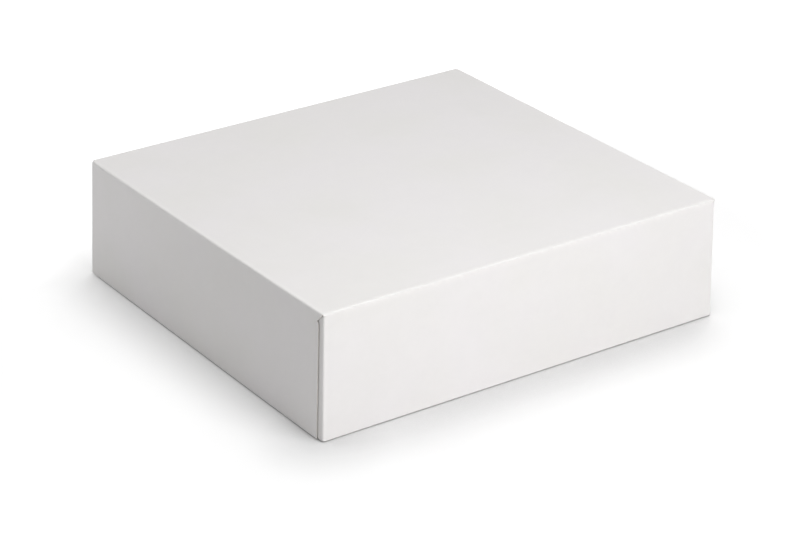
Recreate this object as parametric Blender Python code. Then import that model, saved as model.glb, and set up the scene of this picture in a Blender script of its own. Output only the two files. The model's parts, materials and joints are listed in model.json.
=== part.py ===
"""One-piece folding cake box, shown closed.

A shallow board tray carries a lid hinged along the top of its back wall. The
lid has three full-depth skirts that hang outside the tray: one at the front
and one at each side. The front skirt ends in two ears that tuck back between
the side skirts and the tray's side walls.

Every panel is a flat piece of board. Where two panels meet, the board is
folded: the panel nearer the tray's bottom ends in a rounded fold, and the
next panel hangs from the axis of that fold. Each panel is modelled flat in
its own frame and then folded up from its parent, as the real blank is:

    u  runs along the fold that joins the panel to its parent
    v  runs across the panel, away from that fold
    w  points out of the box, square to the panel

The origin of every panel except the bottom lies on the axis of that fold.
Units are metres, +X is right, -Y is front and +Z is up. The origin of the
whole box is the centre of its footprint, on the surface it stands on.
"""

from math import acos, atan2, cos, pi, radians, sin, sqrt, tan

import bmesh
import bpy
from mathutils import Matrix, Vector

# Overall size of the closed box, measured over the lid's top folds
LID_WIDTH = 0.268
LID_DEPTH = 0.2545
BOX_HEIGHT = 0.075

# The board and its folds
BOARD = 0.0005
FOLD_RADIUS = 0.0006
RUNNING_GAP = 0.0003
FOLD_ANGLE = radians(90)

# The skirts hang a little outwards and stop just above the table
SIDE_LEAN = radians(1.8)
FRONT_LEAN = radians(0.8)
SKIRT_FLOOR_GAP = 0.0008

# Front edge of a side skirt, seen from the side: a notch bitten out under the
# lid's corner, then a cut edge that runs down a little behind the corner
NOTCH_SETBACK = 0.0050
NOTCH_DROP = 0.0041
NOTCH_TIP_RADIUS = 0.0008
SEAM_TOP_SETBACK = 0.0030
SEAM_TOP_DROP = 0.0072
SEAM_BOTTOM_SETBACK = 0.0044
SKIRT_CORNER_RADIUS = 0.0010

# Ears on the front skirt
EAR_LENGTH = 0.035
EAR_TOP_TAPER = radians(9)
EAR_BOTTOM_TAPER = radians(13)
EAR_END_RELIEF = 0.0020
EAR_CORNER_RADIUS = 0.0060

# Glue tabs at the tray's corners
TAB_LENGTH = 0.022
TAB_TAPER = radians(12)
TAB_END_RELIEF = 0.0020
TAB_CORNER_RADIUS = 0.0030

# Small cuts that keep two folds from meeting at a corner
WALL_CORNER_CUT = 0.0010
SKIRT_CORNER_CUT = 0.0006
FRONT_WALL_CORNER_RADIUS = 0.0020

# Facets of rounded shapes
FOLD_STEPS = 18
CORNER_STEPS = 5
SMOOTH_ANGLE = radians(30)
MERGE_DISTANCE = 0.000001

# Fold geometry: the plate meets the rounded fold where the fold passes the
# plate's inner face, and the next plate starts clear of the fold's surface
FOLD_ROOT = sqrt(FOLD_RADIUS**2 - (FOLD_RADIUS - BOARD)**2)
FOLD_REACH = FOLD_RADIUS + RUNNING_GAP
INNER_FACE = FOLD_RADIUS - BOARD

# Heights of the fold axes
LOW_AXIS = FOLD_RADIUS
HIGH_AXIS = BOX_HEIGHT - FOLD_RADIUS

# The lid's folds, and the tray inside them. At the sides the tray stands clear
# of the ears behind the skirts, and at the front clear of the lid's front fold.
LID_HALF_WIDTH = LID_WIDTH / 2
LID_HALF_DEPTH = LID_DEPTH / 2
EAR_FACE = LID_HALF_WIDTH - BOARD - RUNNING_GAP
BEHIND_EARS = BOARD + RUNNING_GAP
BEHIND_FOLDS = 2 * FOLD_RADIUS + RUNNING_GAP
TRAY_HALF_WIDTH = min(EAR_FACE - BEHIND_EARS, LID_HALF_WIDTH - BEHIND_FOLDS)
TRAY_FRONT = LID_HALF_DEPTH - BEHIND_FOLDS
TRAY_BACK = LID_HALF_DEPTH
TRAY_WALL_TOP = BOX_HEIGHT - BOARD - RUNNING_GAP

# Looks: bleached board, a little warmer on its uncoated inside
COATED_WHITE = (0.84, 0.83, 0.82, 1.0)
INSIDE_WHITE = (0.80, 0.78, 0.74, 1.0)
COATED_ROUGHNESS = 0.55
INSIDE_ROUGHNESS = 0.85


def clear_scene():
    """Removes everything that a new Blender file starts with."""
    for thing in list(bpy.data.objects):
        bpy.data.objects.remove(thing, do_unlink=True)


def board_material(name, colour, roughness):
    """Makes a plain paperboard material."""
    material = bpy.data.materials.new(name)
    material.use_nodes = True
    shader = material.node_tree.nodes["Principled BSDF"]
    shader.inputs["Base Color"].default_value = colour
    shader.inputs["Roughness"].default_value = roughness
    shader.inputs["Metallic"].default_value = 0.0
    material.diffuse_color = colour
    return material


def rounded(outline, radii):
    """Rounds the corners of a flat outline.

    outline holds the corners as (u, v), anticlockwise seen from outside the
    box, and radii holds one radius for each, or 0 for a sharp corner.
    """
    points = []
    for index, corner in enumerate(outline):
        here = Vector(corner)
        radius = radii[index]
        if radius == 0:
            points.append(here)
            continue
        to_last = (Vector(outline[index - 1]) - here).normalized()
        to_next = (Vector(outline[(index + 1) % len(outline)]) - here).normalized()
        half_angle = acos(max(-1.0, min(1.0, to_last.dot(to_next)))) / 2
        centre = here + (to_last + to_next).normalized() * (radius / sin(half_angle))
        first = here + to_last * (radius / tan(half_angle)) - centre
        last = here + to_next * (radius / tan(half_angle)) - centre
        start = atan2(first.y, first.x)
        sweep = atan2(first.x * last.y - first.y * last.x, first.dot(last))
        for step in range(CORNER_STEPS + 1):
            angle = start + sweep * step / CORNER_STEPS
            points.append(centre + Vector((cos(angle), sin(angle))) * radius)
    return points


def mirrored(outline):
    """Mirrors an outline from one hand to the other and keeps its turning sense."""
    return [Vector((-point.x, point.y)) for point in reversed(outline)]


def remove_face_at(mesh, centre):
    """Removes the one face whose middle lies at centre."""
    nearest = min(mesh.faces, key=lambda face: (face.calc_center_median() - centre).length)
    bmesh.ops.delete(mesh, geom=[nearest], context="FACES_ONLY")


def add_plate(mesh, outline):
    """Adds a flat plate of board, its outer face one fold radius out."""
    corners = [mesh.verts.new((point.x, point.y, FOLD_RADIUS)) for point in outline]
    face = mesh.faces.new(corners)
    grown = bmesh.ops.extrude_face_region(mesh, geom=[face])
    moved = [item for item in grown["geom"] if isinstance(item, bmesh.types.BMVert)]
    bmesh.ops.translate(mesh, verts=moved, vec=(0, 0, -BOARD))


def add_fold(mesh, start, end):
    """Adds the rounded fold along the plate's straight edge from start to end."""
    along = (end - start).to_3d()
    out = Vector((along.y, -along.x, 0)).normalized()
    up = Vector((0, 0, 1))
    root = start.to_3d()
    sweep = 2 * pi - acos(INNER_FACE / FOLD_RADIUS)
    profile = [root + up * FOLD_RADIUS]
    for step in range(FOLD_STEPS):
        angle = sweep * step / FOLD_STEPS
        reach = FOLD_ROOT + FOLD_RADIUS * sin(angle)
        profile.append(root + out * reach + up * FOLD_RADIUS * cos(angle))
    profile.append(root + up * INNER_FACE)
    cap = mesh.faces.new([mesh.verts.new(point) for point in profile])
    grown = bmesh.ops.extrude_face_region(mesh, geom=[cap])
    moved = [item for item in grown["geom"] if isinstance(item, bmesh.types.BMVert)]
    bmesh.ops.translate(mesh, verts=moved, vec=along)


def panel(name, outline, material, folded_edges=()):
    """Makes one panel of board as a closed body in its own frame.

    folded_edges holds the (start, end) corners of each edge that ends in a
    rounded fold, in the order in which the outline runs.
    """
    mesh = bmesh.new()
    add_plate(mesh, outline)
    for start, end in folded_edges:
        middle = ((start + end) / 2).to_3d()
        middle.z = FOLD_RADIUS - BOARD / 2
        remove_face_at(mesh, middle)
        add_fold(mesh, start, end)
        remove_face_at(mesh, middle)
    bmesh.ops.remove_doubles(mesh, verts=mesh.verts, dist=MERGE_DISTANCE)
    bmesh.ops.recalc_face_normals(mesh, faces=mesh.faces)
    data = bpy.data.meshes.new(name)
    mesh.to_mesh(data)
    mesh.free()
    data.shade_smooth()
    data.set_sharp_from_angle(angle=SMOOTH_ANGLE)
    data.materials.append(material)
    thing = bpy.data.objects.new(name, data)
    bpy.context.scene.collection.objects.link(thing)
    return thing


def fold_from(child, parent, start, end, angle):
    """Hangs child on the fold along parent's edge from start to end.

    angle is how far the child is folded in from lying flat beside its parent.
    """
    along = (end - start).to_3d().normalized()
    out = Vector((along.y, -along.x, 0))
    up = Vector((0, 0, 1))
    axis_point = ((start + end) / 2).to_3d() + out * FOLD_ROOT
    frame = Matrix((-along, out, up)).transposed().to_4x4()
    child.parent = parent
    child.matrix_local = Matrix.Translation(axis_point) @ frame @ Matrix.Rotation(-angle, 4, "X")


def rectangle(low_u, low_v, high_u, high_v):
    """Gives the four corners of a rectangle, anticlockwise from its low corner."""
    return [Vector((low_u, low_v)), Vector((high_u, low_v)),
            Vector((high_u, high_v)), Vector((low_u, high_v))]


def tray_bottom(material):
    """Makes the bottom, with a fold on each of its four sides.

    Its outer face lies on the table, so w points down and v points to the front.
    """
    side = TRAY_HALF_WIDTH - FOLD_RADIUS - FOLD_ROOT
    front = TRAY_FRONT - FOLD_RADIUS - FOLD_ROOT
    back = TRAY_BACK - FOLD_RADIUS - FOLD_ROOT
    corners = rectangle(-side, -back, side, front)
    edges = {"back": (corners[0], corners[1]), "right": (corners[1], corners[2]),
             "front": (corners[2], corners[3]), "left": (corners[3], corners[0])}
    bottom = panel("tray_bottom", corners, material, edges.values())
    bottom.location = (0, 0, LOW_AXIS)
    bottom.rotation_euler = (pi, 0, 0)
    return bottom, edges


def tray_back_wall(material, bottom, edge):
    """Makes the back wall, whose top fold is the lid's hinge."""
    hinge_root = HIGH_AXIS - LOW_AXIS - FOLD_ROOT
    corners = rectangle(-TRAY_HALF_WIDTH, FOLD_REACH, TRAY_HALF_WIDTH, hinge_root)
    hinge = (corners[2], corners[3])
    wall = panel("tray_back_wall", corners, material, [hinge])
    fold_from(wall, bottom, *edge, FOLD_ANGLE)
    return wall, hinge


def tray_front_wall(material, bottom, edge):
    """Makes the front wall, with its free top corners rounded."""
    corners = rectangle(-TRAY_HALF_WIDTH, FOLD_REACH, TRAY_HALF_WIDTH, TRAY_WALL_TOP - LOW_AXIS)
    radii = [0, 0, FRONT_WALL_CORNER_RADIUS, FRONT_WALL_CORNER_RADIUS]
    wall = panel("tray_front_wall", rounded(corners, radii), material)
    fold_from(wall, bottom, *edge, FOLD_ANGLE)
    return wall


def tray_side_wall(side, material, bottom, edge):
    """Makes a side wall, which folds round into a glue tab at each end."""
    behind_end_wall = BOARD + RUNNING_GAP + FOLD_RADIUS + FOLD_ROOT
    half = (TRAY_FRONT + TRAY_BACK) / 2 - behind_end_wall
    low = FOLD_REACH
    high = TRAY_WALL_TOP - LOW_AXIS
    cut = WALL_CORNER_CUT
    corners = [Vector((-half + cut, low)), Vector((half - cut, low)),
               Vector((half, low + cut)), Vector((half, high - cut)),
               Vector((half - cut, high)), Vector((-half + cut, high)),
               Vector((-half, high - cut)), Vector((-half, low + cut))]
    ends = [(corners[2], corners[3]), (corners[6], corners[7])]
    wall = panel(f"tray_{side}_wall", corners, material, ends)
    fold_from(wall, bottom, *edge, FOLD_ANGLE)
    return wall, ends


def glue_tab(name, material, wall, edge):
    """Makes a tapered tab that is glued inside the front or back wall."""
    half = (edge[1] - edge[0]).length / 2 - TAB_END_RELIEF
    narrowing = (TAB_LENGTH - FOLD_REACH) * tan(TAB_TAPER)
    corners = [Vector((-half, FOLD_REACH)), Vector((half, FOLD_REACH)),
               Vector((half - narrowing, TAB_LENGTH)), Vector((-half + narrowing, TAB_LENGTH))]
    tab = panel(name, rounded(corners, [0, 0, TAB_CORNER_RADIUS, TAB_CORNER_RADIUS]), material)
    fold_from(tab, wall, *edge, FOLD_ANGLE)


def lid_panel(material, back_wall, hinge):
    """Makes the lid's top, with a fold at the front and at each side."""
    side = LID_HALF_WIDTH - FOLD_RADIUS - FOLD_ROOT
    front = LID_DEPTH - 2 * FOLD_RADIUS - FOLD_ROOT
    corners = rectangle(-side, FOLD_REACH, side, front)
    edges = {"left": (corners[1], corners[2]), "front": (corners[2], corners[3]),
             "right": (corners[3], corners[0])}
    lid = panel("lid_panel", corners, material, edges.values())
    fold_from(lid, back_wall, *hinge, FOLD_ANGLE)
    return lid, edges


def skirt_length(lean):
    """Gives how far a skirt reaches from its fold axis to just above the table."""
    return (HIGH_AXIS - SKIRT_FLOOR_GAP + INNER_FACE * sin(lean)) / cos(lean)


def lid_front_skirt(material, lid, edge):
    """Makes the front skirt, which widens downwards to follow the side skirts."""
    foot = skirt_length(FRONT_LEAN)
    inset = (FOLD_RADIUS + FOLD_ROOT) / cos(SIDE_LEAN)

    def end_at(drop):
        return EAR_FACE + drop * tan(SIDE_LEAN) - inset

    cut = SKIRT_CORNER_CUT
    top = FOLD_REACH
    left = [Vector((end_at(top) - cut, top)), Vector((end_at(top + cut), top + cut)),
            Vector((end_at(foot - cut), foot - cut)), Vector((end_at(foot) - cut, foot))]
    right = mirrored(left)
    skirt = panel("lid_front_skirt", left + right, material,
                  [(left[1], left[2]), (right[1], right[2])])
    fold_from(skirt, lid, *edge, FOLD_ANGLE - FRONT_LEAN)
    return skirt, {"left": (left[1], left[2]), "right": (right[1], right[2])}


def corner_ear(side, material, skirt, edge):
    """Makes the ear that tucks back behind a side skirt, tapered to slip in."""
    half = (edge[1] - edge[0]).length / 2
    reach = EAR_LENGTH - FOLD_REACH
    low = EAR_END_RELIEF - half
    corners = [Vector((low, FOLD_REACH)), Vector((half, FOLD_REACH)),
               Vector((half - reach * tan(EAR_TOP_TAPER), EAR_LENGTH)),
               Vector((low + reach * tan(EAR_BOTTOM_TAPER), EAR_LENGTH))]
    outline = rounded(corners, [0, 0, EAR_CORNER_RADIUS, EAR_CORNER_RADIUS])
    if side == "right":
        outline = mirrored(outline)
    ear = panel(f"{side}_corner_ear", outline, material)
    fold_from(ear, skirt, *edge, FOLD_ANGLE)


def lid_side_skirt(side, material, lid, edge):
    """Makes a side skirt, with the notch and the cut edge near the front corner."""
    axis_drop = BOX_HEIGHT - HIGH_AXIS
    foot = skirt_length(SIDE_LEAN)
    # the fold starts clear of the hinge, so its middle lies this far in front of the lid's
    forward = (FOLD_REACH - FOLD_ROOT) / 2
    front = forward - LID_HALF_DEPTH
    back = forward + LID_HALF_DEPTH
    flare = foot * sin(FRONT_LEAN)
    notch_start = NOTCH_SETBACK * (FOLD_REACH + axis_drop) / NOTCH_DROP
    corners = [(front + notch_start, FOLD_REACH), (back - RUNNING_GAP, FOLD_REACH),
               (back + flare, foot), (front + SEAM_BOTTOM_SETBACK, foot),
               (front + SEAM_TOP_SETBACK, SEAM_TOP_DROP - axis_drop),
               (front + NOTCH_SETBACK, NOTCH_DROP - axis_drop)]
    radii = [0, 0, SKIRT_CORNER_RADIUS, SKIRT_CORNER_RADIUS, NOTCH_TIP_RADIUS, NOTCH_TIP_RADIUS]
    outline = rounded(corners, radii)
    if side == "right":
        outline = mirrored(outline)
    skirt = panel(f"lid_{side}_skirt", outline, material)
    fold_from(skirt, lid, *edge, FOLD_ANGLE - SIDE_LEAN)


def main():
    """Builds the tray, then the lid, each panel folded from the one before."""
    clear_scene()
    inside = board_material("inside_board", INSIDE_WHITE, INSIDE_ROUGHNESS)
    coated = board_material("coated_board", COATED_WHITE, COATED_ROUGHNESS)

    bottom, bottom_edges = tray_bottom(inside)
    back_wall, hinge = tray_back_wall(coated, bottom, bottom_edges["back"])
    tray_front_wall(inside, bottom, bottom_edges["front"])
    left_wall, left_ends = tray_side_wall("left", inside, bottom, bottom_edges["left"])
    glue_tab("front_left_glue_tab", inside, left_wall, left_ends[0])
    glue_tab("back_left_glue_tab", inside, left_wall, left_ends[1])
    right_wall, right_ends = tray_side_wall("right", inside, bottom, bottom_edges["right"])
    glue_tab("back_right_glue_tab", inside, right_wall, right_ends[0])
    glue_tab("front_right_glue_tab", inside, right_wall, right_ends[1])

    lid, lid_edges = lid_panel(coated, back_wall, hinge)
    front_skirt, ear_edges = lid_front_skirt(coated, lid, lid_edges["front"])
    for side in ("left", "right"):
        corner_ear(side, coated, front_skirt, ear_edges[side])
        lid_side_skirt(side, coated, lid, lid_edges[side])


main()
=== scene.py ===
"""Folding cake box of plain white board, closed, on a white studio table.

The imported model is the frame. Every panel of the box is modelled here again as
a thin sheet of board: a straight edge is spun round its fold, extruded into the
panel, trimmed to its outline and given the thickness of the board. The box is
a little out of true, as a box folded up by hand is.
"""

import json
import logging
from dataclasses import dataclass, field
from enum import Enum, IntEnum
from math import cos, pi, radians, sin, tan
from typing import Callable, Optional

import bmesh
import bpy
from mathutils import Matrix, Vector, noise

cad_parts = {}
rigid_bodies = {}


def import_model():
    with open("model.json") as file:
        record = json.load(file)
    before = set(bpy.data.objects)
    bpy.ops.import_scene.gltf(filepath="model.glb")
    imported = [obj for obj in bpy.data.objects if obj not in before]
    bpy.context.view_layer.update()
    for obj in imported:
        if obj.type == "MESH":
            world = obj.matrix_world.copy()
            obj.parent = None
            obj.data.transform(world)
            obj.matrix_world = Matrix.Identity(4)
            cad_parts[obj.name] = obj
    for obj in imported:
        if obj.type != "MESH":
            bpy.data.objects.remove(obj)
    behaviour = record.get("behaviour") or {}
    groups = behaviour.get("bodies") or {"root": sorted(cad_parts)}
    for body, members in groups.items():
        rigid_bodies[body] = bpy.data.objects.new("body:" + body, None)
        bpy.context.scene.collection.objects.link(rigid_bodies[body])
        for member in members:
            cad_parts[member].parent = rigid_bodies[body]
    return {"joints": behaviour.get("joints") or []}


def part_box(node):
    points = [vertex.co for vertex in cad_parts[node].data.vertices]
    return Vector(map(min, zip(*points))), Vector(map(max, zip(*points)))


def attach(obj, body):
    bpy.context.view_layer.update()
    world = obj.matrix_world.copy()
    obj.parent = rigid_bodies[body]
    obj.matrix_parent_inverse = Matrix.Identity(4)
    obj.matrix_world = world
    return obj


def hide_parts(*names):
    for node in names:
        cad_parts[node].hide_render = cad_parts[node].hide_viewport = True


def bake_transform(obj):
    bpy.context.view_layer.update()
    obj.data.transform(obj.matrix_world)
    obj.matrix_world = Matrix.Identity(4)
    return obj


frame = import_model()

log = logging.getLogger("cake_box")

MM = 0.001
WELD_DISTANCE = MM / 100
SAME_PLACE = MM / 1000
CUT_DISTANCE = MM / 10000
SMOOTH_ANGLE = radians(35)
FOLD_WEAR, PLY_DEPTH = "fold_wear", "ply_depth"
AXES = {"x": Vector((1, 0, 0)), "y": Vector((0, 1, 0)), "z": Vector((0, 0, 1))}


def clamped(value: float, low: float = 0.0) -> float:
    """Limits a value to the range from low to 1."""
    return max(low, min(1.0, value))


def part_way(first: float, last: float, share: float) -> float:
    """Gives the value that lies a share of the way from first to last."""
    return first * (1 - share) + last * share


class Side(IntEnum):
    """Left or right half of the box, as the sign of its x."""

    LEFT = -1
    RIGHT = 1

    @property
    def word(self) -> str:
        """The side's name as the nodes spell it."""
        return self.name.lower()


class Face(IntEnum):
    """Which part of a sheet of board a face belongs to, in material order."""

    OUTSIDE = 0
    INSIDE = 1
    CUT_EDGE = 2


class Slot(Enum):
    """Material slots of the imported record."""

    COATED = "coated_board"
    UNCOATED = "inside_board"


@dataclass(frozen=True)
class Board:
    """The folding board and the way it folds.

    axis_depth is how far a fold's axis lies under the outer face. fold_radius is
    the radius that the outer face takes round a fold, and apron is the flat
    strip of the parent panel that each sheet takes along beyond its fold. A fold
    is worn as far as wear_reach beyond its radius. bend_reach, which nothing
    reads, is how far a moving fold would bend to both sides of its axis. gap is
    the room between two sheets, grid the spacing of the cuts that let a sheet
    bend, and spare the length that is trimmed off a skirt's ends.
    """

    thickness: float = 0.5 * MM
    axis_depth: float = 0.6 * MM
    fold_radius: float = 1.0 * MM
    fold_steps: int = 8
    apron: float = 0.6 * MM
    gap: float = 0.3 * MM
    grid: float = 4.0 * MM
    wear_reach: float = 2.4 * MM
    bend_reach: float = 0.9 * MM
    spare: float = 3.0 * MM

    @property
    def past_fold(self) -> float:
        """Distance from a fold's axis to where a panel may narrow."""
        return 2 * self.fold_radius

    def root(self, angle: float) -> float:
        """Distance from a fold's axis to where the outer face starts to bend."""
        return (self.fold_radius - self.axis_depth) * tan(angle / 2)

    def reach(self, angle: float) -> float:
        """Distance from a fold's axis to the seam between its two sheets."""
        return self.root(angle) + self.apron

    def beyond_fold(self, middle: Vector) -> bool:
        """Whether a face lies on its panel, past a square fold."""
        return middle.y > self.root(pi / 2)

    def worn(self, distance: float) -> float:
        """How worn the board is at a distance from a fold's axis, from 0 to 1."""
        return clamped(1 - (distance - self.fold_radius) / self.wear_reach)


@dataclass(frozen=True)
class FoldJoint:
    """A joint of the frame: where a moving fold lies and how far it opens."""

    parent: str
    child: str
    at: Vector
    opens: float

    @classmethod
    def named(cls, name: str) -> "FoldJoint":
        """Looks a joint up in the frame.

        Args:
            name: the joint's name.

        Returns:
            The joint, with its opening angle in radians.
        """
        row = next(joint for joint in frame["joints"] if joint["name"] == name)
        return cls(row["parent"], row["child"], Vector(row["pos_m"]),
                   radians(row["range_deg"][1]))


@dataclass(frozen=True)
class BoxSizes:
    """Main sizes of the box, read from the frame, in metres."""

    tray_half_width: float
    tray_front: float
    tray_back: float
    wall_top: float
    skirt_foot: float
    ear_length: float
    fold_half_width: float
    fold_front: float
    fold_back: float
    fold_height: float
    side_fold: float
    front_fold: float

    @classmethod
    def from_frame(cls) -> "BoxSizes":
        """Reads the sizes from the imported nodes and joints.

        Returns:
            The sizes of the box at rest.
        """
        low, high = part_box("tray_bottom")
        hinge = FoldJoint.named("lid_hinge")
        front = FoldJoint.named("front_skirt_fold")
        side = FoldJoint.named("right_skirt_fold")
        return cls(
            tray_half_width=high.x,
            tray_front=low.y,
            tray_back=high.y,
            wall_top=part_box("tray_front_wall")[1].z,
            skirt_foot=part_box("lid_front_skirt")[0].z,
            ear_length=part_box("right_corner_ear")[1].y - front.at.y,
            fold_half_width=side.at.x,
            fold_front=front.at.y,
            fold_back=hinge.at.y,
            fold_height=hinge.at.z,
            side_fold=side.opens,
            front_fold=front.opens,
        )


@dataclass(frozen=True)
class HandFolding:
    """How a box folded up by hand departs from a true one, in metres.

    The lid's corners stand a little high or low, its left edge dips and its
    middle sags. corner_pull moves its back right corner across the box. Within
    wander_reach, the lid's creases wander by about wander, in waves of
    wander_length. A fine waver is added, fine_scale times as dense and with
    fine_share of that size. Both are read from layers of the same noise, and
    wander_cuts are the cuts beside each crease, in shares of wander_reach.

    skirt_drop is how much nearer to the table the skirts hang than on the true
    box. The feet of the front and right skirts stand further in, by the tucks.
    The left one's foot stands further out, by the two values of left_spread at
    its front and back, and left_tuck draws its front end in. What belongs to
    the front fades out over tuck_depth. These shifts move only what stands
    further out than the tray, by outside or more.
    """

    sizes: BoxSizes
    back_left: float = -0.9 * MM
    front_left: float = 0.28 * MM
    back_right: float = 0.74 * MM
    front_right: float = -0.3 * MM
    left_dip: float = -0.45 * MM
    sag: float = -0.35 * MM
    wander: float = 0.13 * MM
    wander_length: float = 9 * MM
    wander_reach: float = 2.2 * MM
    wander_cuts: tuple = (0.6, 1.0, 2.0)
    coarse_layer: float = 0.5
    fine_layer: float = 4.5
    fine_scale: float = 3.1
    fine_share: float = 0.5
    skirt_drop: float = 0.3 * MM
    front_tuck: float = 0.7 * MM
    front_rise: float = 0.08 * MM
    left_rise: float = 0.2 * MM
    tuck_depth: float = 60 * MM
    right_tuck: float = 0.6 * MM
    left_spread: tuple = (0.1 * MM, 0.45 * MM)
    left_tuck: float = 0.4 * MM
    corner_pull: float = -0.45 * MM
    outside: float = 0.1 * MM

    def shares(self, x: float, y: float) -> tuple:
        """Tells how far right and how far back a place lies.

        Args:
            x: place across the box.
            y: place along the box.

        Returns:
            The two shares, each from 0 to 1.
        """
        across = clamped(x / self.sizes.fold_half_width, -1.0)
        along = clamped(y / self.sizes.fold_back, -1.0)
        return (across + 1) / 2, (along + 1) / 2

    def lift(self, x: float, y: float) -> float:
        """Tells how far the lid stands above its true height.

        Args:
            x: place across the box.
            y: place along the box.

        Returns:
            The lift at that place.
        """
        right, back = self.shares(x, y)
        front_edge = part_way(self.front_left, self.front_right, right)
        back_edge = part_way(self.back_left, self.back_right, right)
        between = 4 * back * (1 - back)
        middle = 4 * right * (1 - right) * between
        dip = self.left_dip * (1 - right) ** 2 * between
        return part_way(front_edge, back_edge, back) + dip + self.sag * middle

    def crease_rows(self) -> list:
        """Lists the extra cuts beside the lid's creases that let these wander.

        Returns:
            Each cut, as (axis, position).
        """
        size = self.sizes
        rows = []
        for step in self.wander_cuts:
            off = step * self.wander_reach
            rows += [("x", off - size.fold_half_width), ("x", size.fold_half_width - off),
                     ("y", off + size.fold_front), ("z", size.fold_height - off)]
        return rows

    def crease_wander(self, point: Vector) -> Vector:
        """Tells how far the lid's creases wander.

        Args:
            point: a point of the true box.

        Returns:
            The offset at that point, nothing away from the creases.
        """
        size = self.sizes
        height = point.z - size.fold_height
        moved = Vector()
        # off the crease, along it, the way it moves, and its row of the noise
        lines = (
            (point.y - size.fold_front, point.x, Vector((0, -1, 1)), 0.0),
            (point.x + size.fold_half_width, point.y, Vector((-1, 0, 1)), 7.0),
            (point.x - size.fold_half_width, point.y, Vector((1, 0, 1)), 13.0),
        )
        for off, along, way, row in lines:
            near = max(0.0, 1 - (off ** 2 + height ** 2) / self.wander_reach ** 2)
            if near > 0:
                place = along / self.wander_length
                coarse = noise.noise(Vector((place, row, self.coarse_layer)))
                fine = noise.noise(Vector((place * self.fine_scale, row, self.fine_layer)))
                most = self.wander * near ** 2
                moved += way.normalized() * (most * (coarse + self.fine_share * fine))
        return moved

    def offset(self, point: Vector) -> Vector:
        """Gives how far a point of the true box moves.

        Args:
            point: a point of the true box.

        Returns:
            The offset of that point.
        """
        share = max(0.0, point.z) / self.sizes.fold_height
        right, back = self.shares(point.x, point.y)
        pull = AXES["x"] * (self.corner_pull * right * back)
        rise = Vector((0, 0, self.lift(point.x, point.y)))
        return (rise + pull) * share + self.foot_shift(point) + self.crease_wander(point)

    def foot_shift(self, point: Vector) -> Vector:
        """Tells how far a skirt or ear stands off its true place, most at its foot.

        Args:
            point: a point of the true box.

        Returns:
            The offset at that point, nothing on the tray.
        """
        size = self.sizes
        beyond = max(abs(point.x) - size.tray_half_width, size.tray_front - point.y)
        if beyond < self.outside:
            return Vector()
        low = 1 - clamped(point.z / size.fold_height)
        right, back = self.shares(point.x, point.y)
        front = clamped(1 - (point.y - size.tray_front) / self.tuck_depth)
        spread = part_way(*self.left_spread, back)
        across = -self.right_tuck * right + (self.left_tuck * front - spread) * (1 - right)
        rise = self.front_rise * front + self.left_rise * (1 - right) * (1 - front)
        return Vector((across, self.front_tuck * front, rise)) * low


def fold_place(parent: Matrix, start: tuple, end: tuple, angle: float) -> Matrix:
    """Places a panel that hangs on a fold of its parent.

    Args:
        parent: the parent panel's place.
        start: where the fold's axis starts on the parent, as (u, v).
        end: where it ends, anticlockwise seen from outside the box.
        angle: how far the child is folded in from lying flat.

    Returns:
        The child panel's place: u along the fold, v away from it, w outwards.
    """
    first, last = Vector((*start, 0)), Vector((*end, 0))
    along = (last - first).normalized()
    out = Vector((along.y, -along.x, 0))
    turn = Matrix((-along, out, AXES["z"])).transposed().to_4x4()
    middle = Matrix.Translation((first + last) / 2)
    return parent @ middle @ turn @ Matrix.Rotation(-angle, 4, "X")


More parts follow.
